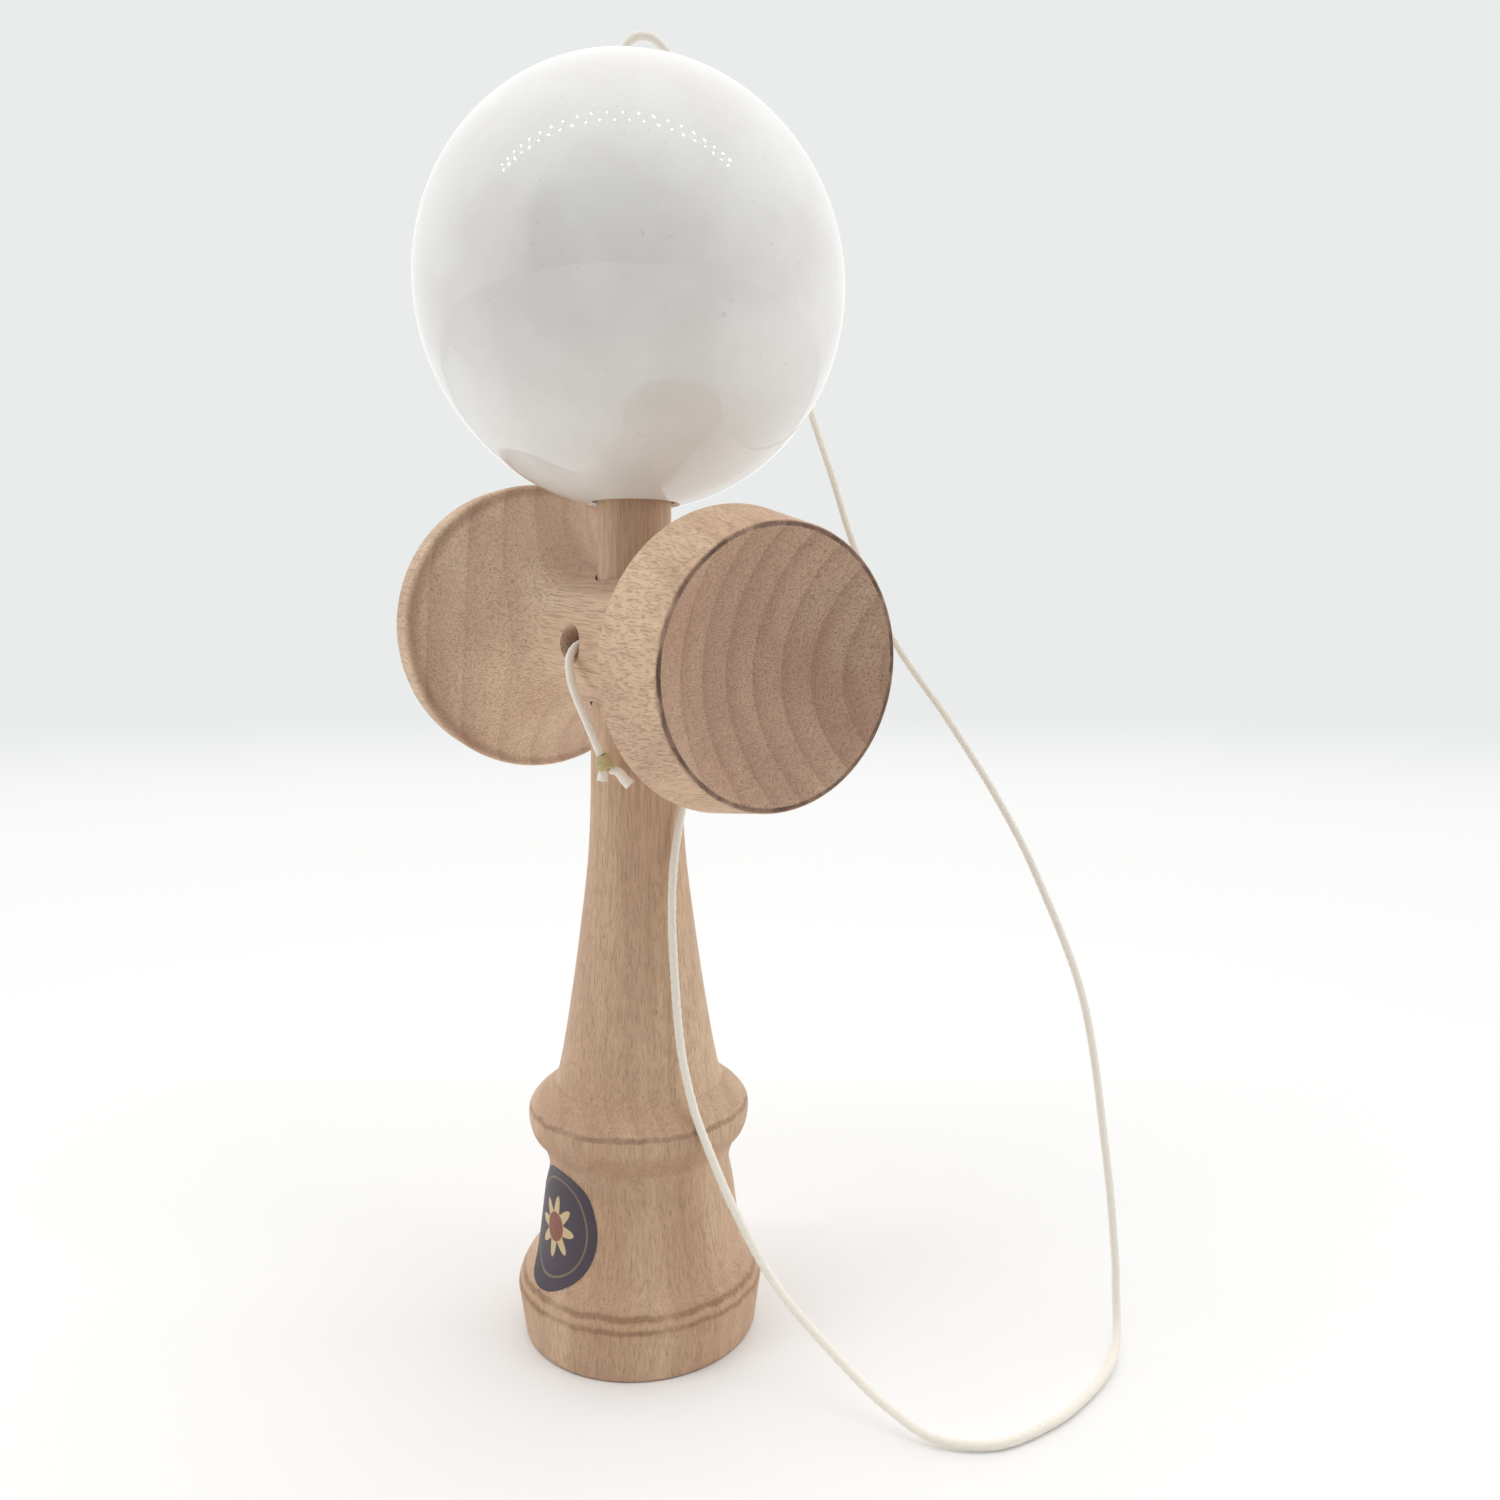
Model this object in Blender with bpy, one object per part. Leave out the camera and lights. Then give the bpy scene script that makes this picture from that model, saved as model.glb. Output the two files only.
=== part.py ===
"""A kendama: a turned handle with a spike, a cross-piece with two cups, and a ball on a string.

Metres, +Z up. The origin is the centre of the base on the surface that it stands on. +X runs along the
cross-piece towards its small cup, and +Y towards the side where the long end of the string comes out.
"""
import math

import bmesh
import bpy
from mathutils import Vector

# Fits
SEAT_GAP = 0.0003
SPIKE_HOLE_CLEARANCE = 0.0009
BEAD_CLEARANCE = 0.0012

# String
STRING_RADIUS = 0.0006
STRING_HOLE_RADIUS = 0.0025

# Ken: the handle, stacked from the surface up
BASE_RADIUS = 0.0182
BASE_FOOT_RADIUS = 0.0173
BASE_SIDE_HEIGHT = 0.0072
BASE_RIM_WIDTH = 0.0022
BASE_CUP_DEPTH = 0.0055
FOOT_ROUNDING = 0.0006
CONE_HEIGHT = 0.0176
WAIST_RADIUS = 0.0134
RING_RADIUS = 0.0163
RING_UNDERSIDE_HEIGHT = 0.0085
RING_CROWN_HEIGHT = 0.0053
SHAFT_FOOT_RADIUS = 0.0120
SHAFT_TOP_RADIUS = 0.00645
SHAFT_LENGTH = 0.0526
SPIKE_RADIUS = 0.0053
SPIKE_PLAIN_LENGTH = 0.0100
SPIKE_LENGTH = 0.0488
SPIKE_TIP_RADIUS = 0.0032

# Curves of the handle's side, downwards: (share of the step in radius, share of the height)
SHAFT_SHAPE = [(0.0, 0.0), (0.095, 0.34), (0.37, 0.60), (0.72, 0.85), (1.0, 1.0)]
RING_CROWN_SHAPE = [(0.26, 0.27), (0.68, 0.55), (0.92, 0.78), (1.0, 1.0)]
RING_UNDERSIDE_SHAPE = [(0.05, 0.20), (0.24, 0.39), (0.62, 0.55), (0.86, 0.74), (1.0, 1.0)]
CONE_SHAPE = [
    (0.125, 0.19), (0.23, 0.415), (0.33, 0.61), (0.46, 0.73), (0.71, 0.82), (0.90, 0.915), (1.0, 1.0),
]

# Sarado: the cross-piece, measured along its own axis from the handle's axis
SARADO_TILT = math.radians(4.8)
NECK_RADIUS = 0.0105
NECK_HALF_LENGTH = 0.0075
SMALL_CUP_REACH = 0.0362
SMALL_CUP_LIP_RADIUS = 0.0177
SMALL_CUP_LIP_WIDTH = 0.0007
SMALL_CUP_BAND_RADIUS = 0.0196
SMALL_CUP_BAND_WIDTH = 0.0100
SMALL_CUP_DEPTH = 0.0060
BIG_CUP_REACH = 0.0374
BIG_CUP_LIP_RADIUS = 0.0230
BIG_CUP_LIP_WIDTH = 0.0012
BIG_CUP_BAND_RADIUS = 0.0233
BIG_CUP_BAND_WIDTH = 0.0055
BIG_CUP_DEPTH = 0.0090
CUP_EDGE_ROUNDING = 0.0007
CUP_BACK_CURVE = 1.7

# Tama: the ball, and the bead that stops the string inside it
TAMA_RADIUS = 0.0299
TAMA_STRING_HOLE_RADIUS = 0.0015
TAMA_STRING_HOLE_LENGTH = 0.0103
HOLE_EDGE_BEVEL = 0.0004
BEAD_HEIGHT = 0.0055
BEAD_EDGE_ROUNDING = 0.0012
BEAD_KNOT_HEIGHT = 0.0030
BEAD_KNOT_RADIUS = 0.0022

# Knot on the string's front end
END_KNOT_RADIUS = 0.0016
END_KNOT_LENGTH = 0.0034

# Facets of the round pieces
TURNED_SEGMENTS = 40
SMALL_SEGMENTS = 16
CUTTER_SEGMENTS = 24
ARC_STEPS = 6
DISH_STEPS = 7
SPHERE_STEPS = 22
STRING_POINTS = 78
TAIL_POINTS = 12
BEND_SPACING = 0.016
SHARP_ANGLE = math.radians(35.0)
STRING_BEVEL_RESOLUTION = 2
CURVE_STEPS = 24
SHAFT_STEPS = 3

# Heights that follow from the stack
CONE_Z = BASE_SIDE_HEIGHT
WAIST_Z = CONE_Z + CONE_HEIGHT
RING_Z = WAIST_Z + RING_UNDERSIDE_HEIGHT
SHAFT_FOOT_Z = RING_Z + RING_CROWN_HEIGHT
SEAT_BOTTOM_Z = SHAFT_FOOT_Z + SHAFT_LENGTH
SARADO_Z = SEAT_BOTTOM_Z + NECK_RADIUS
SEAT_TOP_Z = SARADO_Z + NECK_RADIUS
SPIKE_TIP_Z = SEAT_TOP_Z + SPIKE_LENGTH
BEAD_KNOT_Z = SPIKE_TIP_Z + SEAT_GAP
BEAD_Z = BEAD_KNOT_Z + BEAD_KNOT_HEIGHT + SEAT_GAP
SPIKE_HOLE_END_Z = BEAD_Z + BEAD_HEIGHT + SEAT_GAP
TAMA_TOP_Z = SPIKE_HOLE_END_Z + TAMA_STRING_HOLE_LENGTH
TAMA_Z = TAMA_TOP_Z - TAMA_RADIUS
SPIKE_HOLE_RADIUS = SPIKE_RADIUS + SPIKE_HOLE_CLEARANCE
BEAD_RADIUS = SPIKE_HOLE_RADIUS - BEAD_CLEARANCE

# The string's stretches meet inside the neck's hole and inside the ball's
NECK_STRING_X = 0.0009
NECK_STRING_Z = SARADO_Z + 0.0002
NECK_STRING_END = NECK_RADIUS - 0.0023
TAMA_STRING_END_Z = TAMA_TOP_Z - 0.0030

# The long end of the string, from inside the ball's string hole to the rear hole of the neck
STRING_ROUTE = [
    (0.0000, 0.0000, TAMA_STRING_END_Z + SEAT_GAP),
    (0.0000, 0.0000, TAMA_TOP_Z - 0.0025),
    (0.0000, 0.0000, TAMA_TOP_Z - 0.0017),
    (-0.00008, -0.00011, TAMA_TOP_Z - 0.0008),
    (-0.0003, -0.00045, TAMA_TOP_Z),
    (-0.00055, -0.0008, TAMA_TOP_Z + 0.00085),
    (-0.00063, -0.0009, TAMA_TOP_Z + 0.00176),
    (-0.00047, -0.00067, TAMA_TOP_Z + 0.00303),
    (0.0000, 0.0000, TAMA_TOP_Z + 0.00406),
    (0.0006, 0.00095, TAMA_TOP_Z + 0.00466),
    (0.00126, 0.00207, TAMA_TOP_Z + 0.00471),
    (0.0017, 0.0031, TAMA_TOP_Z + 0.0043),
    (0.0017, 0.0049, TAMA_TOP_Z + 0.0032),
    (0.0003, 0.0079, TAMA_TOP_Z + 0.0014),
    (-0.0028, 0.0125, TAMA_TOP_Z - 0.0012),
    (-0.0055, 0.0205, 0.1740),
    (-0.0072, 0.0275, 0.1650),
    (-0.0074, 0.0316, 0.1545),
    (-0.0050, 0.0357, 0.1396),
    (-0.0024, 0.0385, 0.1283),
    (0.0003, 0.0407, 0.1177),
    (0.0056, 0.0444, 0.1029),
    (0.0137, 0.0495, 0.0895),
    (0.0212, 0.0533, 0.0771),
    (0.0274, 0.0560, 0.0650),
    (0.0349, 0.0581, 0.0474),
    (0.0406, 0.0570, 0.0261),
    (0.0439, 0.0555, 0.0123),
    (0.0450, 0.0546, 0.0070),
    (0.0466, 0.0529, 0.0033),
    (0.0489, 0.0496, 0.0014),
    (0.0510, 0.0450, 0.0009),
    (0.0527, 0.0385, 0.0008),
    (0.0536, 0.0310, 0.0008),
    (0.0524, 0.0220, 0.0008),
    (0.0475, 0.0158, 0.0012),
    (0.0420, 0.0129, 0.0033),
    (0.0367, 0.0105, 0.0066),
    (0.0273, 0.0060, 0.0147),
    (0.0212, 0.0030, 0.0240),
    (0.0176, 0.0008, 0.0325),
    (0.0152, -0.0001, 0.0380),
    (0.0124, -0.0002, 0.0450),
    (0.0107, -0.0001, 0.0540),
    (0.0093, 0.0003, 0.0650),
    (0.0081, 0.0018, 0.0735),
    (0.0066, 0.0050, 0.0830),
    (0.0038, 0.0090, 0.0910),
    (0.0020, 0.0114, 0.0955),
    (0.0012, NECK_RADIUS + 0.0012, SARADO_Z - 0.0030),
    (0.0010, NECK_RADIUS + 0.0008, SARADO_Z - 0.0014),
    (0.0009, NECK_RADIUS - 0.0004, SARADO_Z - 0.00025),
    (NECK_STRING_X, NECK_RADIUS - 0.0020, NECK_STRING_Z),
    (NECK_STRING_X, NECK_STRING_END, NECK_STRING_Z),
]

# The short end, from the front hole of the neck down to its knot
TAIL_ROUTE = [
    (NECK_STRING_X, -NECK_STRING_END, NECK_STRING_Z),
    (NECK_STRING_X, -NECK_RADIUS + 0.0016, NECK_STRING_Z),
    (0.0011, -NECK_RADIUS + 0.0003, SARADO_Z - 0.0005),
    (0.0017, -NECK_RADIUS - 0.0008, SARADO_Z - 0.0018),
    (0.0024, -NECK_RADIUS - 0.0012, SARADO_Z - 0.0035),
    (0.0029, -NECK_RADIUS - 0.0011, SARADO_Z - 0.0055),
    (0.0034, -NECK_RADIUS - 0.0005, SARADO_Z - 0.0078),
    (0.0039, -0.0101, SARADO_Z - 0.0103),
    (0.0044, -0.0092, SARADO_Z - 0.0129),
    (0.0048, -0.0083, SARADO_Z - 0.0153),
]


def clear_scene():
    for item in list(bpy.data.objects):
        bpy.data.objects.remove(item, do_unlink=True)


def make_material(name, colour, roughness):
    material = bpy.data.materials.new(name)
    material.use_nodes = True
    shader = material.node_tree.nodes["Principled BSDF"]
    shader.inputs["Base Color"].default_value = (*colour, 1.0)
    shader.inputs["Roughness"].default_value = roughness
    shader.inputs["Metallic"].default_value = 0.0
    return material


def arc(centre, radius, start_degrees, end_degrees, steps):
    """Points (radius, height) along an arc, measured from the outward direction."""
    points = []
    for step in range(steps + 1):
        angle = math.radians(start_degrees + (end_degrees - start_degrees) * step / steps)
        points.append((centre[0] + radius * math.cos(angle), centre[1] + radius * math.sin(angle)))
    return points


def catmull_rom(before, start, end, after, share):
    """One point between start and end on the smooth curve through four points."""
    linear = (end - before) * share
    square = (2.0 * before - 5.0 * start + 4.0 * end - after) * share ** 2
    cubic = (3.0 * start - before - 3.0 * end + after) * share ** 3
    return start + 0.5 * (linear + square + cubic)


def smooth_curve(points, steps):
    """A smooth curve through the points, with so many steps between each two."""
    knots = [Vector(point) for point in points]
    padded = [2.0 * knots[0] - knots[1]] + knots + [2.0 * knots[-1] - knots[-2]]
    curve = []
    for index in range(len(knots) - 1):
        for step in range(steps):
            curve.append(catmull_rom(*padded[index:index + 4], step / steps))
    return curve + [knots[-1]]


def spaced(curve, count):
    """So many points along a curve, closer together where it bends."""
    strides = [end - start for start, end in zip(curve, curve[1:])]
    travelled = [0.0]
    for index, stride in enumerate(strides):
        turn = strides[index - 1].angle(stride) if index else 0.0
        travelled.append(travelled[-1] + stride.length + BEND_SPACING * turn)
    points = []
    index = 0
    for number in range(count):
        distance = travelled[-1] * number / (count - 1)
        while index < len(curve) - 2 and travelled[index + 1] < distance:
            index += 1
        share = (distance - travelled[index]) / (travelled[index + 1] - travelled[index])
        points.append(curve[index].lerp(curve[index + 1], share))
    return points


def outline(start, end, shape):
    """Points (radius, height) from start to end, at the shape's shares of the way."""
    return [
        (start[0] + (end[0] - start[0]) * across, start[1] + (end[1] - start[1]) * along)
        for across, along in shape
    ]


def dish(mouth_radius, mouth_z, depth, steps):
    """A hollow's points from its mouth to its deepest point, depth along +Z or, if negative, -Z."""
    sphere = (mouth_radius ** 2 + depth ** 2) / (2.0 * abs(depth))
    side = math.copysign(1.0, depth)
    widest = math.asin(mouth_radius / sphere)
    points = []
    for step in range(steps + 1):
        angle = widest * (1.0 - step / steps)
        height = sphere * (math.cos(angle) - math.cos(widest))
        points.append((sphere * math.sin(angle), mouth_z + side * height))
    return points


def turned_mesh(name, profile, closed, segments):
    """The mesh that a profile of (radius, height) points sweeps round Z."""
    shape = bmesh.new()
    corners = [shape.verts.new((radius, 0.0, height)) for radius, height in profile]
    for start, end in zip(corners, corners[1:]):
        shape.edges.new((start, end))
    if closed:
        shape.edges.new((corners[-1], corners[0]))
    bmesh.ops.spin(
        shape,
        geom=shape.verts[:] + shape.edges[:],
        cent=(0.0, 0.0, 0.0),
        axis=(0.0, 0.0, 1.0),
        angle=2.0 * math.pi,
        steps=segments,
        use_merge=True,
    )
    bmesh.ops.remove_doubles(shape, verts=shape.verts[:], dist=1e-6)
    bmesh.ops.recalc_face_normals(shape, faces=shape.faces[:])
    mesh = bpy.data.meshes.new(name)
    shape.to_mesh(mesh)
    shape.free()
    mesh.shade_smooth()
    mesh.set_sharp_from_angle(angle=SHARP_ANGLE)
    return mesh


def place(name, data, material, parent=None, location=(0.0, 0.0, 0.0), rotation=(0.0, 0.0, 0.0)):
    """A scene object of the given data, under its parent if it has one."""
    item = bpy.data.objects.new(name, data)
    bpy.context.scene.collection.objects.link(item)
    if material is not None:
        data.materials.append(material)
    item.location = location
    item.rotation_euler = rotation
    if parent is not None:
        item.parent = parent
    return item


def cut(item, cutter):
    modifier = item.modifiers.new("cut_" + cutter.name, "BOOLEAN")
    modifier.operation = "DIFFERENCE"
    modifier.solver = "EXACT"
    modifier.object = cutter


def hide_cutter(item):
    item.hide_render = True
    item.display_type = "WIRE"


def seat_radius(height):
    """The handle's radius where it tapers through the cross-piece."""
    share = (height - SEAT_BOTTOM_Z) / (SEAT_TOP_Z - SEAT_BOTTOM_Z)
    return SHAFT_TOP_RADIUS + (SPIKE_RADIUS - SHAFT_TOP_RADIUS) * share


def ken_profile():
    """The handle from the tip of its spike down its outer side and into the cup under its base."""
    tip_centre = (0.0, SPIKE_TIP_Z - SPIKE_TIP_RADIUS)
    tip = [(0.0, SPIKE_TIP_Z)] + arc(tip_centre, SPIKE_TIP_RADIUS, 75.0, 10.0, ARC_STEPS)
    spike = [(SPIKE_RADIUS, SEAT_TOP_Z + SPIKE_PLAIN_LENGTH), (SPIKE_RADIUS, SEAT_TOP_Z)]
    shaft_top = (SHAFT_TOP_RADIUS, SEAT_BOTTOM_Z)
    shaft_foot = (SHAFT_FOOT_RADIUS, SHAFT_FOOT_Z)
    ring = (RING_RADIUS, RING_Z)
    waist = (WAIST_RADIUS, WAIST_Z)
    base_edge = (BASE_RADIUS, CONE_Z)
    shaft_route = [(*point, 0.0) for point in outline(shaft_top, shaft_foot, SHAFT_SHAPE)]
    shaft = [(point.x, point.y) for point in smooth_curve(shaft_route, SHAFT_STEPS)]
    crown = outline(shaft_foot, ring, RING_CROWN_SHAPE)
    underside = outline(ring, waist, RING_UNDERSIDE_SHAPE)
    cone = outline(waist, base_edge, CONE_SHAPE)
    foot = arc(
        (BASE_FOOT_RADIUS - FOOT_ROUNDING, FOOT_ROUNDING), FOOT_ROUNDING, 0.0, -90.0, ARC_STEPS // 2
    )
    mouth_radius = BASE_FOOT_RADIUS - FOOT_ROUNDING - BASE_RIM_WIDTH
    hollow = dish(mouth_radius, 0.0, BASE_CUP_DEPTH, DISH_STEPS)
    return tip + spike + shaft + crown + underside + cone + foot + hollow


def cup_back(band_radius, band_start, steps):
    """The concave back of a cup, from the neck out to the edge of its band."""
    points = []
    for step in range(steps + 1):
        share = step / steps
        radius = NECK_RADIUS + (band_radius - NECK_RADIUS) * share ** CUP_BACK_CURVE
        points.append((radius, NECK_HALF_LENGTH + (band_start - NECK_HALF_LENGTH) * share))
    return points


def cup_side(reach, lip_radius, lip_width, band_radius, band_width, depth):
    """One half of the cross-piece: its back, its band, its lip and its hollow, from the neck outwards."""
    edge = CUP_EDGE_ROUNDING
    back = cup_back(band_radius - edge, reach - band_width - edge, DISH_STEPS)
    shoulder = arc((band_radius - edge, reach - band_width), edge, -45.0, 0.0, 2)
    lip = arc((lip_radius - edge, reach - edge), edge, 0.0, 75.0, ARC_STEPS // 2)
    hollow = dish(lip_radius - edge - lip_width, reach, -depth, DISH_STEPS)
    return back + shoulder + lip + hollow


def sarado_profile():
    """The cross-piece about its own axis, from the hollow of the small cup to that of the big one."""
    small = cup_side(
        SMALL_CUP_REACH, SMALL_CUP_LIP_RADIUS, SMALL_CUP_LIP_WIDTH,
        SMALL_CUP_BAND_RADIUS, SMALL_CUP_BAND_WIDTH, SMALL_CUP_DEPTH,
    )
    big = cup_side(
        BIG_CUP_REACH, BIG_CUP_LIP_RADIUS, BIG_CUP_LIP_WIDTH,
        BIG_CUP_BAND_RADIUS, BIG_CUP_BAND_WIDTH, BIG_CUP_DEPTH,
    )
    return small[::-1] + [(radius, -height) for radius, height in big]


def tama_profile():
    """The ball's outside, its spike hole and its string hole, about the ball's centre."""
    top_edge = TAMA_STRING_HOLE_RADIUS + HOLE_EDGE_BEVEL
    mouth_edge = SPIKE_HOLE_RADIUS + HOLE_EDGE_BEVEL
    start = math.degrees(math.acos(top_edge / TAMA_RADIUS))
    end = -math.degrees(math.acos(mouth_edge / TAMA_RADIUS))
    outside = arc((0.0, 0.0), TAMA_RADIUS, start, end, SPHERE_STEPS)
    hole_end = SPIKE_HOLE_END_Z - TAMA_Z
    hole_mouth = outside[-1][1] + HOLE_EDGE_BEVEL
    string_mouth = outside[0][1] - HOLE_EDGE_BEVEL
    inside = [
        (SPIKE_HOLE_RADIUS, hole_mouth),
        (SPIKE_HOLE_RADIUS, hole_end),
        (TAMA_STRING_HOLE_RADIUS, hole_end),
        (TAMA_STRING_HOLE_RADIUS, string_mouth),
    ]
    return outside + inside


def bead_profile():
    """The bead's rounded outside and its string hole."""
    edge = BEAD_EDGE_ROUNDING
    hole = STRING_RADIUS + SEAT_GAP
    top = arc((BEAD_RADIUS - edge, BEAD_HEIGHT - edge), edge, 90.0, 0.0, 3)
    bottom = arc((BEAD_RADIUS - edge, edge), edge, 0.0, -90.0, 3)
    return [(hole, BEAD_HEIGHT)] + top + bottom + [(hole, 0.0)]


def knot_profile(radius, length):
    """A plump knot with flat ends where the string meets it."""
    half = length / 2.0
    flat = STRING_RADIUS
    swell = [(radius * math.cos(angle), half * math.sin(angle)) for angle in (0.9, 0.5, 0.0, -0.5, -0.9)]
    return [(0.0, half), (flat, half)] + swell + [(flat, -half), (0.0, -half)]


def make_tube(name, points, material, parent):
    """A string stretch: a round tube with capped ends along the points."""
    curve = bpy.data.curves.new(name, "CURVE")
    curve.dimensions = "3D"
    curve.bevel_depth = STRING_RADIUS
    curve.bevel_resolution = STRING_BEVEL_RESOLUTION
    curve.use_fill_caps = True
    spline = curve.splines.new("POLY")
    spline.points.add(len(points) - 1)
    for corner, point in zip(spline.points, points):
        corner.co = (*point, 1.0)
    return place(name, curve, material, parent)


def make_ken(material, parent, string_hole):
    mesh = turned_mesh("ken", ken_profile(), False, TURNED_SEGMENTS)
    ken = place("ken", mesh, material, parent)
    cut(ken, string_hole)


def make_sarado(material, parent, string_hole):
    mesh = turned_mesh("sarado", sarado_profile(), False, TURNED_SEGMENTS)
    rotation = (0.0, math.pi / 2.0 + SARADO_TILT, 0.0)
    sarado = place("sarado", mesh, material, parent, (0.0, 0.0, SARADO_Z), rotation)
    reach = 2.0 * NECK_RADIUS
    bottom, top = SARADO_Z - reach, SARADO_Z + reach
    bore = [
        (0.0, top),
        (seat_radius(top) + SEAT_GAP, top),
        (seat_radius(bottom) + SEAT_GAP, bottom),
        (0.0, bottom),
    ]
    cutter = place("ken_bore", turned_mesh("ken_bore", bore, False, TURNED_SEGMENTS), None, parent)
    hide_cutter(cutter)
    cut(sarado, cutter)
    cut(sarado, string_hole)


def make_string_hole(parent):
    """The cross hole through the neck and the handle, along Y."""
    reach = 2.0 * NECK_RADIUS
    profile = [(0.0, reach), (STRING_HOLE_RADIUS, reach), (STRING_HOLE_RADIUS, -reach), (0.0, -reach)]
    mesh = turned_mesh("string_hole", profile, False, CUTTER_SEGMENTS)
    rotation = (math.pi / 2.0, 0.0, 0.0)
    cutter = place("string_hole", mesh, None, parent, (0.0, 0.0, SARADO_Z), rotation)
    hide_cutter(cutter)
    return cutter


def make_end_knot(material, parent):
    """The knot on the short end, in line with the string that comes into it."""
    last = Vector(TAIL_ROUTE[-1])
    direction = (last - Vector(TAIL_ROUTE[-2])).normalized()
    centre = last + direction * (SEAT_GAP + END_KNOT_LENGTH / 2.0)
    mesh = turned_mesh("end_knot", knot_profile(END_KNOT_RADIUS, END_KNOT_LENGTH), False, SMALL_SEGMENTS)
    knot = place("end_knot", mesh, material, parent, centre)
    knot.rotation_euler = direction.to_track_quat("Z", "Y").to_euler()


def string_points(route, count):
    """Points along a smooth curve, with a straight run at both ends of the route."""
    curve = smooth_curve(route[1:-1], CURVE_STEPS)
    return [Vector(route[0])] + spaced(curve, count) + [Vector(route[-1])]


def make_strings(material, parent, bead_parent):
    make_tube("string", string_points(STRING_ROUTE, STRING_POINTS), material, parent)
    make_tube("string_tail", string_points(TAIL_ROUTE, TAIL_POINTS), material, parent)
    neck_end = NECK_STRING_END - SEAT_GAP
    in_neck = [(NECK_STRING_X, neck_end, NECK_STRING_Z), (NECK_STRING_X, -neck_end, NECK_STRING_Z)]
    make_tube("string_in_neck", in_neck, material, parent)
    in_tama = [(0.0, 0.0, TAMA_STRING_END_Z - SPIKE_TIP_Z), (0.0, 0.0, BEAD_Z - SPIKE_TIP_Z)]
    make_tube("string_in_tama", in_tama, material, bead_parent)


def make_bead(wood, cord, parent):
    mesh = turned_mesh("bead", bead_profile(), True, SMALL_SEGMENTS)
    place("bead", mesh, wood, parent, (0.0, 0.0, BEAD_Z - SPIKE_TIP_Z))
    knot = turned_mesh("bead_knot", knot_profile(BEAD_KNOT_RADIUS, BEAD_KNOT_HEIGHT), False, SMALL_SEGMENTS)
    place("bead_knot", knot, cord, parent, (0.0, 0.0, BEAD_KNOT_Z + BEAD_KNOT_HEIGHT / 2.0 - SPIKE_TIP_Z))


def main():
    clear_scene()
    beech = make_material("beech", (0.55, 0.37, 0.24), 0.55)
    lacquer = make_material("white_lacquer", (0.86, 0.86, 0.86), 0.15)
    bead_wood = make_material("bead_wood", (0.62, 0.45, 0.30), 0.5)
    cord = make_material("cord", (0.85, 0.80, 0.68), 0.8)
    handle = place("handle_frame", None, None)
    lift = place("bead_frame", None, None, handle, (0.0, 0.0, SPIKE_TIP_Z))
    string_hole = make_string_hole(handle)
    make_ken(beech, handle, string_hole)
    make_sarado(beech, handle, string_hole)
    make_strings(cord, handle, lift)
    make_end_knot(cord, handle)
    make_bead(bead_wood, cord, lift)
    tama = turned_mesh("tama", tama_profile(), True, TURNED_SEGMENTS)
    place("tama", tama, lacquer, lift, (0.0, 0.0, TAMA_Z - SPIKE_TIP_Z))


main()
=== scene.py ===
"""The looks of the kendama: turned beech, a white lacquered ball and a cream cord on a pale floor."""
import math

import bpy
from mathutils import Matrix, Vector


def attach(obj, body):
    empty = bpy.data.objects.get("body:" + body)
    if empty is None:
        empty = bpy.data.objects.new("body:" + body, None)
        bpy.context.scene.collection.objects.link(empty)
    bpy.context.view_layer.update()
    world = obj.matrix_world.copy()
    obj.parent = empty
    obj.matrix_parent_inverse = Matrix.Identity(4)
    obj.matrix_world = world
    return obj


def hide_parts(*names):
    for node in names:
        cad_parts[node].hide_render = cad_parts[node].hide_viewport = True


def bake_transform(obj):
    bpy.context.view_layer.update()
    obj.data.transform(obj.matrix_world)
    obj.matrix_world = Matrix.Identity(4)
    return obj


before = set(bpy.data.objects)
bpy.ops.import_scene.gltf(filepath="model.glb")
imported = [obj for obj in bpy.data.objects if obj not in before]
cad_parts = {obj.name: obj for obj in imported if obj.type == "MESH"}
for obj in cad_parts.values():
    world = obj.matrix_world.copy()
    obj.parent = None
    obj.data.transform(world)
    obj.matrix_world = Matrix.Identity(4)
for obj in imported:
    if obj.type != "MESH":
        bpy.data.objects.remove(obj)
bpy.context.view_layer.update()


def linear(red, green, blue):
    """A colour written as 0 to 255 screen values, as scene linear with alpha."""
    values = []
    for value in (red, green, blue):
        share = value / 255.0
        values.append(share / 12.92 if share <= 0.04045 else ((share + 0.055) / 1.055) ** 2.4)
    return (*values, 1.0)


# Camera, fitted to the photograph
CAMERA_PLACE = (0.1475, -0.0824, 0.1018)
CAMERA_FORWARD = (-0.8174, 0.5687, -0.0919)
SENSOR_WIDTH = 36.0
LENS = 27.744
CLIP_START = 0.005

# Level directions in the studio, as the camera sees them
TOWARDS_FRONT = (0.8211, -0.5707, 0.0)
TOWARDS_RIGHT = (0.5710, 0.8210, 0.0)

# Tent: white, brighter above and at the left, with a dark opening in its grey front
BACKDROP = linear(233, 236, 235)
TENT_WHITE = (1.10, 1.10, 1.10, 1.0)
TENT_TOP = (1.24, 1.24, 1.24, 1.0)
TENT_LEFT = (1.14, 1.14, 1.14, 1.0)
FRONT_GREY = (0.24, 0.24, 0.24, 1.0)
OPENING_DARK = (0.02, 0.02, 0.02, 1.0)
OPENING_SIDES = (math.radians(-43.0), math.radians(21.0))
OPENING_ENDS = (math.radians(-39.0), math.radians(32.0))
OPENING_BLUR = math.radians(6.0)

# Directions between which the tent changes: upwards, rightwards (so below zero) and to the front
TOP_RAMP = (0.35, 0.95)
LEFT_RAMP = (-0.35, -0.90)
FRONT_RAMP = (0.42, 0.84)

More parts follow.
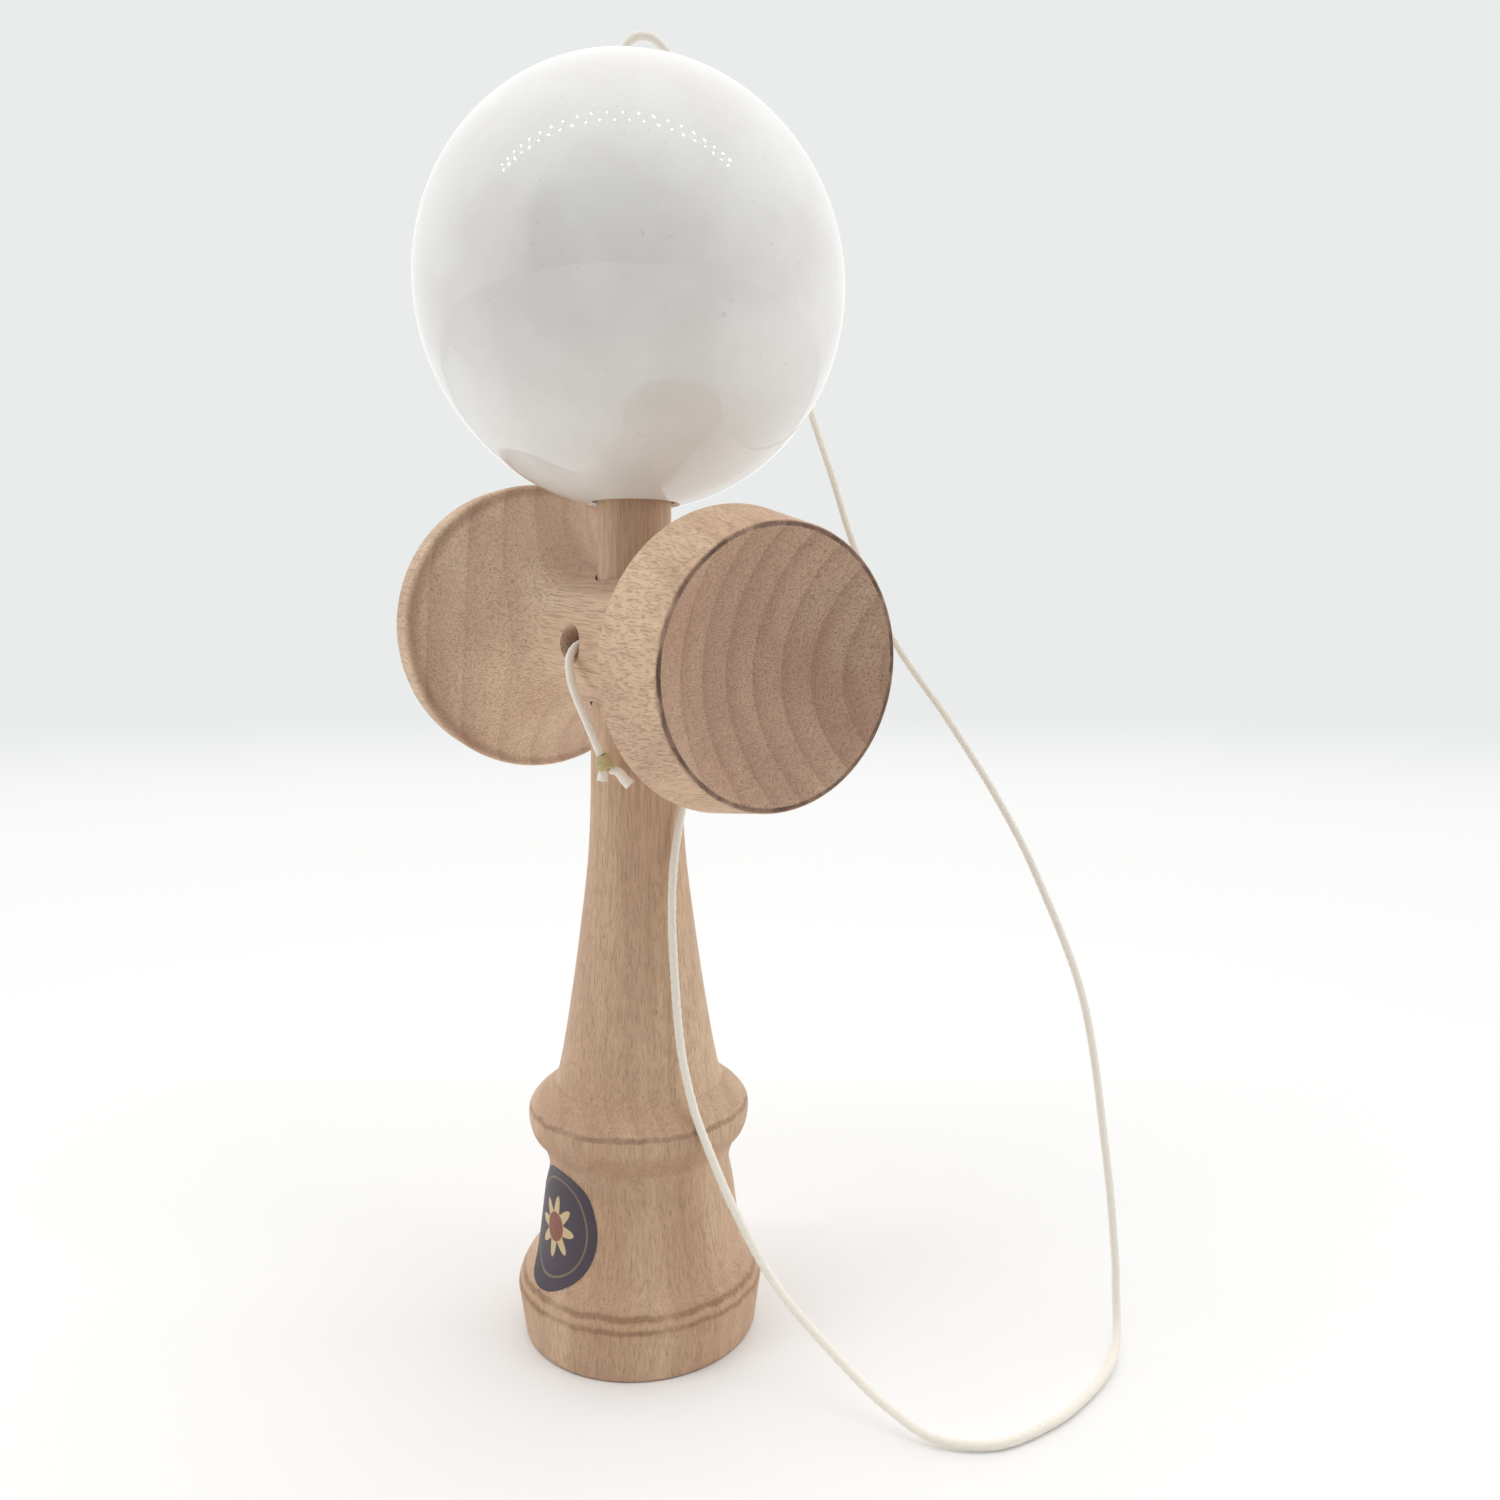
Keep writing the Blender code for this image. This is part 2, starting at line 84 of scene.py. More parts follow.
# Table: pale paper, fading into the backdrop, with a front part that throws less light
FLOOR_HALF = 4.0
TABLE_EDGE = 0.172
TABLE_BLUR = 0.06
TABLE_WHITE = (0.89, 0.89, 0.885, 1.0)
TABLE_FRONT = (0.60, 0.60, 0.60, 1.0)
PAPER_WHITE = linear(253, 253, 252)
PAPER_RAMP = (0.3, 1.6)
FADE_RAMP = (0.15, 0.45)

# Lamps: a zigzag row over the ball
ROW_CENTRE = (0.0900, -0.0970, 0.4700)
ROW_TARGET = (0.0, 0.0, 0.10)
ROW_HALF_LENGTH = 0.34
ROW_LAMPS = 44
ROW_LAMP_SIZE = 0.003
ROW_ZIGZAG = 0.014
ROW_POWER = 0.42

# Colours of the wood
BEECH_LIGHT = linear(225, 194, 161)
BEECH_WARM = linear(209, 173, 143)
BEECH_DARK = linear(146, 109, 84)
END_GRAIN = linear(166, 127, 113)
BURNT = linear(122, 86, 64)
LIP_BROWN = linear(92, 64, 49)
# Brown of the worked base edge, also used as painted shade on the handle's cone and under its ring
EDGE_AND_SHADE_BROWN = linear(170, 128, 92)

# Grain of the beech: noise scales per metre, the last of three along the grain
SWAY_SCALE = 26.0
TONE_SCALE = (130.0, 60.0, 12.0)
FIBRE_SCALE = (1900.0, 1900.0, 45.0)
RAY_SCALE = (60.0, 5200.0, 460.0)
PORE_SCALE = (6500.0, 6500.0, 420.0)
DASH_SCALE = (4400.0, 4400.0, 190.0)
TEAR_SCALE = (420.0, 420.0, 90.0)
BREAK_SCALE = (210.0, 210.0, 30.0)

# Levels of that noise between which a mark grows from none to full
TONE_RAMP = (0.35, 0.65)
FIBRE_RAMP = (0.42, 0.72)
RAY_RAMP = (0.58, 0.74)
PORE_RAMP = (0.55, 0.80)
DASH_RAMP = (0.53, 0.67)
BREAK_RAMP = (0.30, 0.62)

# How far the rings sway, how they darken, and how strongly each mark shows
SWAY_REACH = 0.005
LATE_WOOD_POWER = 2.4
LATE_WOOD_END = 0.94
END_GRAIN_RAMP = (0.45, 0.90)
RINGS_ALONG = 0.4
RINGS_ON_ENDS = 0.8
FIBRE_STRENGTH = 0.22
PORE_STRENGTH = 0.22
RAY_STRENGTH = 0.5
DASH_LEAST = 0.08
DASH_STRENGTH = 0.8
BREAK_LEAST = 0.5
EDGE_CORE = 0.4
WOOD_ROUGHNESS = 0.58
WOOD_RELIEF = 0.00006
FIBRE_RELIEF = 0.6

# Lacquer of the ball
LACQUER_DEEP = linear(231, 229, 225)
LACQUER_PALE = linear(239, 238, 234)
SPECK_GREY = linear(165, 162, 160)
CLOUD_SCALE = 70.0
CLOUD_RAMP = (0.35, 0.65)
SPECK_SCALE = 1300.0
SPECK_RAMP = (0.70, 0.80)
SPECK_STRENGTH = 0.18
RIPPLE_SCALE = 1100.0
RIPPLE_DEPTH = 0.000012
LACQUER_ROUGHNESS = 0.4
GLOSS = {"Coat_Weight": 1.0, "Coat_Roughness": 0.015, "Coat_IOR": 1.6, "Specular_IOR_Level": 0.0}

# Looks of the cord, of the olive winding round its knot and of the bead
CORD_PALE = linear(253, 249, 240)
CORD_DEEP = linear(239, 231, 215)
# The knot's winding is coloured olive, darker than the cord
KNOT_WINDING_PALE = linear(214, 200, 150)
KNOT_WINDING_DEEP = linear(176, 158, 104)
CORD_FIBRE_SCALE = (14.0, 5.0, 1.0)
BRAID_STRENGTH = 0.12
CORD_ROUGHNESS = 0.7
CORD_RELIEF = 0.00002
CORD_SHEEN = 0.2
BEAD_DEEP = linear(190, 150, 110)
BEAD_PALE = linear(216, 182, 142)
BEAD_GRAIN_SCALE = (2500.0, 2500.0, 250.0)
BEAD_ROUGHNESS = 0.5
BEAD_RELIEF = 0.00006

# Looks of the label, with lengths as shares of its radius
LABEL_DARK = linear(60, 50, 60)
LABEL_SOFT = linear(76, 64, 76)
PETAL_CREAM = linear(206, 182, 138)
HEART_RED = linear(138, 80, 62)
LINE_TAN = linear(150, 126, 96)
PETALS = 8.0
PETAL_REACH = 0.40
PETAL_DEPTH = 0.13
PETAL_RAMP = (0.0, 0.03)
HEART_RAMP = (0.26, 0.23)
LINE_RADIUS = 0.80
LINE_RAMP = (0.025, 0.01)
LINE_STRENGTH = 0.6
LABEL_GRAIN_SCALE = (60.0, 60.0, 1.0)
LABEL_ROUGHNESS = 0.5
LABEL_RELIEF = 0.00002

# Heights of the stack
BASE_EDGE_Z = 0.0072
WAIST_Z = 0.0248
RING_Z = 0.0333
SHAFT_FOOT_Z = 0.0386
SEAT_BOTTOM_Z = 0.0912
SARADO_Z = 0.1017
SEAT_TOP_Z = 0.1122
SPIKE_PLAIN_Z = 0.1222
SPIKE_TIP_Z = 0.1610
BEAD_KNOT_Z = 0.1613
BEAD_Z = 0.1646
SPIKE_HOLE_END_Z = 0.1704
TAMA_Z = 0.1508
TAMA_TOP_Z = 0.1807

# Sizes of the turned pieces
BASE_RADIUS = 0.0182
BASE_RIM_IN = 0.00015
BASE_RIM_DOWN = 0.0012
BASE_FOOT_RADIUS = 0.0173
BASE_MOUTH_RADIUS = 0.0145
BASE_CUP_DEPTH = 0.0055
FOOT_ROUNDING = 0.0006
WAIST_RADIUS = 0.0134
RING_RADIUS = 0.0163
SHAFT_FOOT_RADIUS = 0.0120
SHAFT_TOP_RADIUS = 0.00645
SPIKE_RADIUS = 0.0053
SPIKE_TIP_RADIUS = 0.0032
NECK_RADIUS = 0.0105
NECK_HALF_LENGTH = 0.0075
SARADO_TILT = math.radians(4.8)
SMALL_CUP_REACH = 0.0362
BIG_CUP_REACH = 0.0374
SMALL_CUP = {
    "reach": SMALL_CUP_REACH,
    "lip_radius": 0.0177,
    "lip_width": 0.0003,
    "band_radius": 0.0196,
    "band_width": 0.0100,
    "depth": 0.0060,
    "edge": 0.0004,
}
BIG_CUP = {
    "reach": BIG_CUP_REACH,
    "lip_radius": 0.0230,
    "lip_width": 0.0012,
    "band_radius": 0.0233,
    "band_width": 0.0055,
    "depth": 0.0090,
    "edge": 0.0013,
}
CUP_BACK_CURVE = 1.7
TAMA_RADIUS = 0.0299
SPIKE_HOLE_RADIUS = 0.0062
TAMA_STRING_HOLE_RADIUS = 0.0015
HOLE_EDGE = 0.0004
BEAD_RADIUS = 0.0050
BEAD_HEIGHT = 0.0055
BEAD_EDGE = 0.0012
BEAD_KNOT_HEIGHT = 0.0030
SEAT_GAP = 0.0003

# Worked edges and bands of painted shade: level along the piece, half width, strength and colour
KEN_EDGE_AND_SHADE_BANDS = [
    # Painted shade: a broad brown band darkening the handle's cone and waist
    (0.0180, 0.0250, 0.24, EDGE_AND_SHADE_BROWN),
    (RING_Z + 0.0008, 0.0005, 0.48, BURNT),
    # Painted shadow: a brown band on the underside of the ring, where the ring shades it
    (RING_Z - 0.0036, 0.0026, 0.30, EDGE_AND_SHADE_BROWN),
    (BASE_EDGE_Z + 0.0012, 0.0020, 0.46, EDGE_AND_SHADE_BROWN),
    (BASE_EDGE_Z + 0.0021, 0.0005, 0.50, BURNT),
    (BASE_EDGE_Z + 0.0013, 0.0004, 0.25, BEECH_LIGHT),
    (BASE_EDGE_Z + 0.0005, 0.0004, 0.50, BURNT),
]
SARADO_EDGES = [
    (SMALL_CUP_REACH + 0.0001, 0.0002, 1.0, LIP_BROWN),
    (-BIG_CUP_REACH - 0.0001, 0.0002, 0.6, LIP_BROWN),
]

# Curves of the handle's side, downwards: (share of the step in radius, share of the height)
SHAFT_SHAPE = [(0.0, 0.0), (0.095, 0.34), (0.37, 0.60), (0.72, 0.85), (1.0, 1.0)]
RING_CROWN_SHAPE = [(0.26, 0.27), (0.68, 0.55), (0.92, 0.78), (1.0, 1.0)]
RING_UNDERSIDE_SHAPE = [(0.05, 0.20), (0.24, 0.39), (0.62, 0.55), (0.86, 0.74), (1.0, 1.0)]
CONE_SHAPE = [
    (0.125, 0.19), (0.23, 0.415), (0.33, 0.61), (0.46, 0.73), (0.71, 0.82), (0.90, 0.915), (1.0, 1.0),
]

# Label on the base
LABEL_RADIUS = 0.0083
LABEL_Z = 0.0183
LABEL_AZIMUTH = math.radians(-87.0)
LABEL_STAND_OFF = 0.00006
LABEL_RINGS = 16
LABEL_SPOKES = 72

# Cord
STRING_RADIUS = 0.0006
STRING_HOLE_RADIUS = 0.0025
STRING_HOLE_FLARE = 0.0005
NECK_STRING_X = 0.0009
NECK_STRING_Z = 0.1019
NECK_STRING_END = 0.0082
TAMA_STRING_END_Z = 0.1777
CORD_LAY = 0.004
CORD_LOBES = 3
CORD_LOBE_DEPTH = 0.06

# Knot on the short end: where it lies along the tail, its winding and its cut ends as (rightwards, down)
KNOT_ALONG = 0.0012
KNOT_LENGTH = 0.0016
KNOT_WIND_RADIUS = 0.0007
KNOT_TURNS = 3.2
KNOT_STEPS = 80
WRAP_RADIUS = 0.0005
CUT_ENDS_ALONG = 0.0022
CUT_END_RADIUS = 0.0006
CUT_END_SPLAY = 0.0008
CUT_END_STEPS = 6
SHORT_CUT_END = [(-0.0005, 0.0), (-0.0006, 0.0008), (-0.0007, 0.0016)]
LONG_CUT_END = [(0.0004, 0.0), (0.0016, 0.0004), (0.0024, 0.0014), (0.0032, 0.0022)]

# Knot under the bead
BEAD_KNOT_LENGTH = 0.0014
BEAD_KNOT_WIND_RADIUS = 0.0012
BEAD_KNOT_TURNS = 2.6
BEAD_KNOT_STEPS = 60

# Facets
TURNED_SEGMENTS = 144
SMALL_SEGMENTS = 48
CORD_SIDES = 12
CORD_STEP = 0.0005
CURVE_STEPS = 24
SIDE_STEPS = 6
TIP_STEPS = 14
FOOT_STEPS = 6
BASE_CUP_STEPS = 20
CUP_STEPS = 28
SHOULDER_STEPS = 6
LIP_STEPS = 7
BALL_STEPS = 96
BEAD_STEPS = 8
INNER_CORD_POINTS = 27
SHARP_ANGLE = math.radians(38.0)

# The cord, from inside the ball's string hole to the rear hole of the neck
STRING_ROUTE = [
    (0.0000, 0.0000, TAMA_STRING_END_Z + SEAT_GAP),
    (0.0000, 0.0000, TAMA_TOP_Z - 0.0025),
    (0.0000, 0.0000, TAMA_TOP_Z - 0.0017),
    (-0.00008, -0.00011, TAMA_TOP_Z - 0.0008),
    (-0.0003, -0.00045, TAMA_TOP_Z),
    (-0.00055, -0.0008, TAMA_TOP_Z + 0.00085),
    (-0.00063, -0.0009, TAMA_TOP_Z + 0.00176),
    (-0.00047, -0.00067, TAMA_TOP_Z + 0.00303),
    (0.0000, 0.0000, TAMA_TOP_Z + 0.00406),
    (0.0006, 0.00095, TAMA_TOP_Z + 0.00466),
    (0.00126, 0.00207, TAMA_TOP_Z + 0.00471),
    (0.0017, 0.0031, TAMA_TOP_Z + 0.0043),
    (0.0017, 0.0049, TAMA_TOP_Z + 0.0032),
    (0.0003, 0.0079, TAMA_TOP_Z + 0.0014),
    (-0.0028, 0.0125, TAMA_TOP_Z - 0.0012),
    (-0.0055, 0.0205, 0.1740),
    (-0.0072, 0.0275, 0.1650),
    (-0.0074, 0.0316, 0.1545),
    (-0.0050, 0.0357, 0.1396),
    (-0.0024, 0.0385, 0.1283),
    (0.0003, 0.0407, 0.1177),
    (0.0056, 0.0444, 0.1029),
    (0.0137, 0.0495, 0.0895),
    (0.0212, 0.0533, 0.0771),
    (0.0274, 0.0560, 0.0650),
    (0.0349, 0.0581, 0.0474),
    (0.0406, 0.0570, 0.0261),
    (0.0439, 0.0555, 0.0123),
    (0.0450, 0.0546, 0.0070),
    (0.0466, 0.0529, 0.0033),
    (0.0489, 0.0496, 0.0014),
    (0.0510, 0.0450, 0.0009),
    (0.0527, 0.0385, 0.0008),
    (0.0536, 0.0310, 0.0008),
    (0.0524, 0.0220, 0.0008),
    (0.0475, 0.0158, 0.0012),
    (0.0420, 0.0129, 0.0033),
    (0.0367, 0.0105, 0.0066),
    (0.0273, 0.0060, 0.0147),
    (0.0212, 0.0030, 0.0240),
    (0.0176, 0.0008, 0.0325),
    (0.0152, -0.0001, 0.0380),
    (0.0124, -0.0002, 0.0450),
    (0.0107, -0.0001, 0.0540),
    (0.0093, 0.0003, 0.0650),
    (0.0081, 0.0018, 0.0735),
    (0.0066, 0.0050, 0.0830),
    (0.0038, 0.0090, 0.0910),
    (0.0020, 0.0114, 0.0955),
    (0.0012, NECK_RADIUS + 0.0012, SARADO_Z - 0.0030),
    (0.0010, NECK_RADIUS + 0.0008, SARADO_Z - 0.0014),
    (0.0009, NECK_RADIUS - 0.0004, SARADO_Z - 0.00025),
    (NECK_STRING_X, NECK_RADIUS - 0.0020, NECK_STRING_Z),
    (NECK_STRING_X, NECK_STRING_END, NECK_STRING_Z),
]

# Its short end, from the front hole of the neck down to the knot
TAIL_ROUTE = [
    (NECK_STRING_X, -NECK_STRING_END, NECK_STRING_Z),
    (NECK_STRING_X, -NECK_RADIUS + 0.0016, NECK_STRING_Z),
    (0.0011, -NECK_RADIUS + 0.0003, SARADO_Z - 0.0005),
    (0.0017, -NECK_RADIUS - 0.0008, SARADO_Z - 0.0018),
    (0.0024, -NECK_RADIUS - 0.0012, SARADO_Z - 0.0035),
    (0.0029, -NECK_RADIUS - 0.0011, SARADO_Z - 0.0055),
    (0.0034, -NECK_RADIUS - 0.0005, SARADO_Z - 0.0078),
    (0.0039, -0.0101, SARADO_Z - 0.0103),
    (0.0044, -0.0092, SARADO_Z - 0.0129),
    (0.0048, -0.0083, SARADO_Z - 0.0153),
]


class Graph:
    """A node tree, added to and linked by short calls."""

    def __init__(self, tree):
        self.tree = tree

    def put(self, socket, value):
        if isinstance(value, bpy.types.NodeSocket):
            self.tree.links.new(value, socket)
        elif value is not None:
            socket.default_value = value

    def add(self, kind, inputs=(), **settings):
        node = self.tree.nodes.new(kind)
        for name, value in settings.items():
            setattr(node, name, value)
        for name, value in dict(inputs).items():
            self.put(node.inputs[name], value)
        return node

    def math(self, operation, first, second=None, third=None):
        node = self.add("ShaderNodeMath", operation=operation)
        for socket, value in zip(node.inputs, (first, second, third)):
            self.put(socket, value)
        return node.outputs[0]

    def vector(self, operation, first, second=None):
        node = self.add("ShaderNodeVectorMath", operation=operation)
        self.put(node.inputs[0], first)
        self.put(node.inputs[1], second)
        return node.outputs["Value" if operation in ("LENGTH", "DOT_PRODUCT") else "Vector"]

    def split(self, vector):
        return self.add("ShaderNodeSeparateXYZ", {"Vector": vector}).outputs[:3]

    def noise(self, vector, scale, detail=2.0):
        """Noise from 0 to 1, with a scale along each axis."""
        stretched = self.vector("MULTIPLY", vector, scale)
        inputs = {"Vector": stretched, "Scale": 1.0, "Detail": detail}
        return self.add("ShaderNodeTexNoise", inputs).outputs["Fac"]

    def ramp(self, value, low, high, top=1.0):
        """0 below low and the top value above high, smooth between."""
        node = self.add("ShaderNodeMapRange", interpolation_type="SMOOTHSTEP")
        self.put(node.inputs["Value"], value)
        node.inputs["From Min"].default_value = low
        node.inputs["From Max"].default_value = high
        node.inputs["To Max"].default_value = top
        return node.outputs["Result"]

    def mix(self, share, first, second):
        node = self.add("ShaderNodeMix", data_type="RGBA")
        self.put(node.inputs["Factor"], share)
        self.put(node.inputs[6], first)
        self.put(node.inputs[7], second)
        return node.outputs[2]

    def finish(self, colour, roughness, relief, depth, **plain):
        """Fills the material's Principled shader, with a bump of the given depth."""
        shader = self.tree.nodes["Principled BSDF"]
        self.put(shader.inputs["Base Color"], colour)
        shader.inputs["Roughness"].default_value = roughness
        for name, value in plain.items():
            shader.inputs[name.replace("_", " ")].default_value = value
        bump = self.add("ShaderNodeBump", {"Height": relief, "Distance": depth})
        self.put(shader.inputs["Normal"], bump.outputs["Normal"])


def new_material(name):
    material = bpy.data.materials.new(name)
    material.use_nodes = True
    return material, Graph(material.node_tree)


def catmull_rom(before, start, end, after, share):
    straight = (end - before) * share
    square = (2.0 * before - 5.0 * start + 4.0 * end - after) * share ** 2
    cubic = (3.0 * start - before - 3.0 * end + after) * share ** 3
    return start + 0.5 * (straight + square + cubic)


def smooth_curve(points, steps):
    """A smooth curve through the points, with so many steps between each two."""
    knots = [Vector(point) for point in points]
    padded = [2.0 * knots[0] - knots[1]] + knots + [2.0 * knots[-1] - knots[-2]]
    curve = []
    for index in range(len(knots) - 1):
        for step in range(steps):
            curve.append(catmull_rom(*padded[index:index + 4], step / steps))
    return curve + [knots[-1]]


def curve_length(curve):
    return sum((end - start).length for start, end in zip(curve, curve[1:]))


def evenly_spaced(curve, count):
    """So many points at equal distances along a curve."""
    travelled = [0.0]
    for start, end in zip(curve, curve[1:]):
        travelled.append(travelled[-1] + (end - start).length)
    points = []
    index = 0
    for number in range(count):
        distance = travelled[-1] * number / (count - 1)
        while index < len(curve) - 2 and travelled[index + 1] < distance:
            index += 1
        span = max(travelled[index + 1] - travelled[index], 1e-9)
        points.append(curve[index].lerp(curve[index + 1], (distance - travelled[index]) / span))
    return points


def outline(start, end, shape):
    """Points (radius, height) from start to end, at the shape's shares of the way."""
    return [
        (start[0] + (end[0] - start[0]) * across, start[1] + (end[1] - start[1]) * along)
        for across, along in shape
    ]


def arc(centre, radius, start_degrees, end_degrees, steps):
    points = []
    for step in range(steps + 1):
        angle = math.radians(start_degrees + (end_degrees - start_degrees) * step / steps)
        points.append((centre[0] + radius * math.cos(angle), centre[1] + radius * math.sin(angle)))
    return points


def dish(mouth_radius, mouth_z, depth, steps):
    """A hollow's outline from its mouth to its deepest point."""
    sphere = (mouth_radius ** 2 + depth ** 2) / (2.0 * abs(depth))
    side = math.copysign(1.0, depth)
    widest = math.asin(mouth_radius / sphere)
    points = []
    for step in range(steps + 1):
        angle = widest * (1.0 - step / steps)
        height = sphere * (math.cos(angle) - math.cos(widest))
        points.append((sphere * math.sin(angle), mouth_z + side * height))
    return points


def add_object(name, mesh, material):
    item = bpy.data.objects.new(name, mesh)
    bpy.context.scene.collection.objects.link(item)
    if material is not None:
        mesh.materials.append(material)
    return item


def dress(item, body, node):
    """Lets an item ride a body and stand for one of its nodes."""
    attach(item, body)
    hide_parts(node)


def turned_mesh(name, profile, segments, closed=False):
    """The mesh that a profile of (radius, height) points sweeps round Z."""
    vertices = []
    rows = []
    for radius, height in profile:
        if radius < 1e-7:
            rows.append([len(vertices)] * segments)
            vertices.append((0.0, 0.0, height))
            continue
        rows.append(list(range(len(vertices), len(vertices) + segments)))
        for step in range(segments):
            angle = 2.0 * math.pi * step / segments
            vertices.append((radius * math.cos(angle), radius * math.sin(angle), height))
    pairs = list(zip(rows, rows[1:]))
    if closed:
        pairs.append((rows[-1], rows[0]))
    faces = []
    for upper, lower in pairs:
        for step in range(segments):
            after = (step + 1) % segments
            corners = [upper[step], lower[step], lower[after], upper[after]]
            faces.append([corner for spot, corner in enumerate(corners) if corner not in corners[:spot]])
    mesh = bpy.data.meshes.new(name)
    mesh.from_pydata(vertices, [], [face for face in faces if len(face) > 2])
    mesh.validate()
    mesh.shade_smooth()
    mesh.set_sharp_from_angle(angle=SHARP_ANGLE)
    return mesh


def cut_hole(item, profile, matrix, segments):
    """Takes the solid that a profile turns, placed by a matrix, out of an item's mesh."""
    cutter = add_object(item.name + "_cutter", turned_mesh("cutter", profile, segments), None)
    cutter.matrix_world = matrix
    modifier = item.modifiers.new("cut", "BOOLEAN")
    modifier.solver = "EXACT"
    modifier.object = cutter
    bpy.context.view_layer.update()
    shaped = item.evaluated_get(bpy.context.evaluated_depsgraph_get())
    mesh = bpy.data.meshes.new_from_object(shaped)
    item.modifiers.clear()
    item.data = mesh
    mesh.set_sharp_from_angle(angle=SHARP_ANGLE)
    bpy.data.objects.remove(cutter, do_unlink=True)


def cut_string_hole(item):
    """Cuts the cord's hole through the neck, along Y, with softened mouths."""
    reach = 2.0 * NECK_RADIUS
    wide = STRING_HOLE_RADIUS + STRING_HOLE_FLARE
    half = [
        (wide + reach - NECK_RADIUS, reach),
        (wide, NECK_RADIUS),
        (STRING_HOLE_RADIUS + 0.3 * STRING_HOLE_FLARE, NECK_RADIUS - STRING_HOLE_FLARE),
        (STRING_HOLE_RADIUS, NECK_RADIUS - 2.5 * STRING_HOLE_FLARE),
    ]
    other = [(radius, -height) for radius, height in reversed(half)]
    profile = [(0.0, reach)] + half + other + [(0.0, -reach)]
    across = Matrix.Translation((0.0, 0.0, SARADO_Z)) @ Matrix.Rotation(math.pi / 2.0, 4, "X")
    cut_hole(item, profile, across, SMALL_SEGMENTS)


def seat_radius(height):
    share = (height - SEAT_BOTTOM_Z) / (SEAT_TOP_Z - SEAT_BOTTOM_Z)
    return SHAFT_TOP_RADIUS + (SPIKE_RADIUS - SHAFT_TOP_RADIUS) * share


def ken_side():
    """The handle's side from the top of the shaft to the edge of the base."""
    shaft_top = (SHAFT_TOP_RADIUS, SEAT_BOTTOM_Z)
    shaft_foot = (SHAFT_FOOT_RADIUS, SHAFT_FOOT_Z)
    ring = (RING_RADIUS, RING_Z)
    waist = (WAIST_RADIUS, WAIST_Z)
    base_edge = (BASE_RADIUS, BASE_EDGE_Z)
    points = outline(shaft_top, shaft_foot, SHAFT_SHAPE)
    points += outline(shaft_foot, ring, RING_CROWN_SHAPE)
    points += outline(ring, waist, RING_UNDERSIDE_SHAPE)
    points += outline(waist, base_edge, CONE_SHAPE)
    points.append((BASE_RADIUS - BASE_RIM_IN, BASE_EDGE_Z - BASE_RIM_DOWN))
    curve = smooth_curve([(*point, 0.0) for point in points], SIDE_STEPS)
    return [(point.x, point.y) for point in curve]


def ken_profile():
    """The handle from the tip of its spike down its side and into the cup under its base."""
    tip = [(0.0, SPIKE_TIP_Z)]
    tip += arc((0.0, SPIKE_TIP_Z - SPIKE_TIP_RADIUS), SPIKE_TIP_RADIUS, 84.0, 10.0, TIP_STEPS)
    spike = [(SPIKE_RADIUS, SPIKE_PLAIN_Z), (SPIKE_RADIUS, SEAT_TOP_Z)]
    foot = arc((BASE_FOOT_RADIUS - FOOT_ROUNDING, FOOT_ROUNDING), FOOT_ROUNDING, 0.0, -90.0, FOOT_STEPS)
    hollow = dish(BASE_MOUTH_RADIUS, 0.0, BASE_CUP_DEPTH, BASE_CUP_STEPS)
    return tip + spike + ken_side() + foot + hollow


def cup_side(reach, lip_radius, lip_width, band_radius, band_width, depth, edge):
    """Half of the cross-piece: back, band, lip and hollow, from the neck outwards."""
    band_start = reach - band_width
    back = []
    for step in range(CUP_STEPS + 1):
        share = step / CUP_STEPS
        radius = NECK_RADIUS + (band_radius - edge - NECK_RADIUS) * share ** CUP_BACK_CURVE
        back.append((radius, NECK_HALF_LENGTH + (band_start - edge - NECK_HALF_LENGTH) * share))
    shoulder = arc((band_radius - edge, band_start), edge, -60.0, 0.0, SHOULDER_STEPS)
    lip = arc((lip_radius - edge, reach - edge), edge, 0.0, 85.0, LIP_STEPS)
    hollow = dish(lip_radius - edge - lip_width, reach, -depth, CUP_STEPS)
    return back + shoulder + lip + hollow


def sarado_profile():
    """The cross-piece about its own axis, from the hollow of the small cup to that of the big one."""
    small = cup_side(**SMALL_CUP)
    big = cup_side(**BIG_CUP)
    return small[::-1] + [(radius, -height) for radius, height in big]


def tama_profile():
    """The ball's outside, its spike hole and its string hole, about the ball's centre."""
    start = math.degrees(math.acos((TAMA_STRING_HOLE_RADIUS + HOLE_EDGE) / TAMA_RADIUS))
    end = -math.degrees(math.acos((SPIKE_HOLE_RADIUS + HOLE_EDGE) / TAMA_RADIUS))
    outside = arc((0.0, 0.0), TAMA_RADIUS, start, end, BALL_STEPS)
    return outside + [
        (SPIKE_HOLE_RADIUS, outside[-1][1] + HOLE_EDGE),
        (SPIKE_HOLE_RADIUS, SPIKE_HOLE_END_Z - TAMA_Z),
        (TAMA_STRING_HOLE_RADIUS, SPIKE_HOLE_END_Z - TAMA_Z),
        (TAMA_STRING_HOLE_RADIUS, outside[0][1] - HOLE_EDGE),
    ]


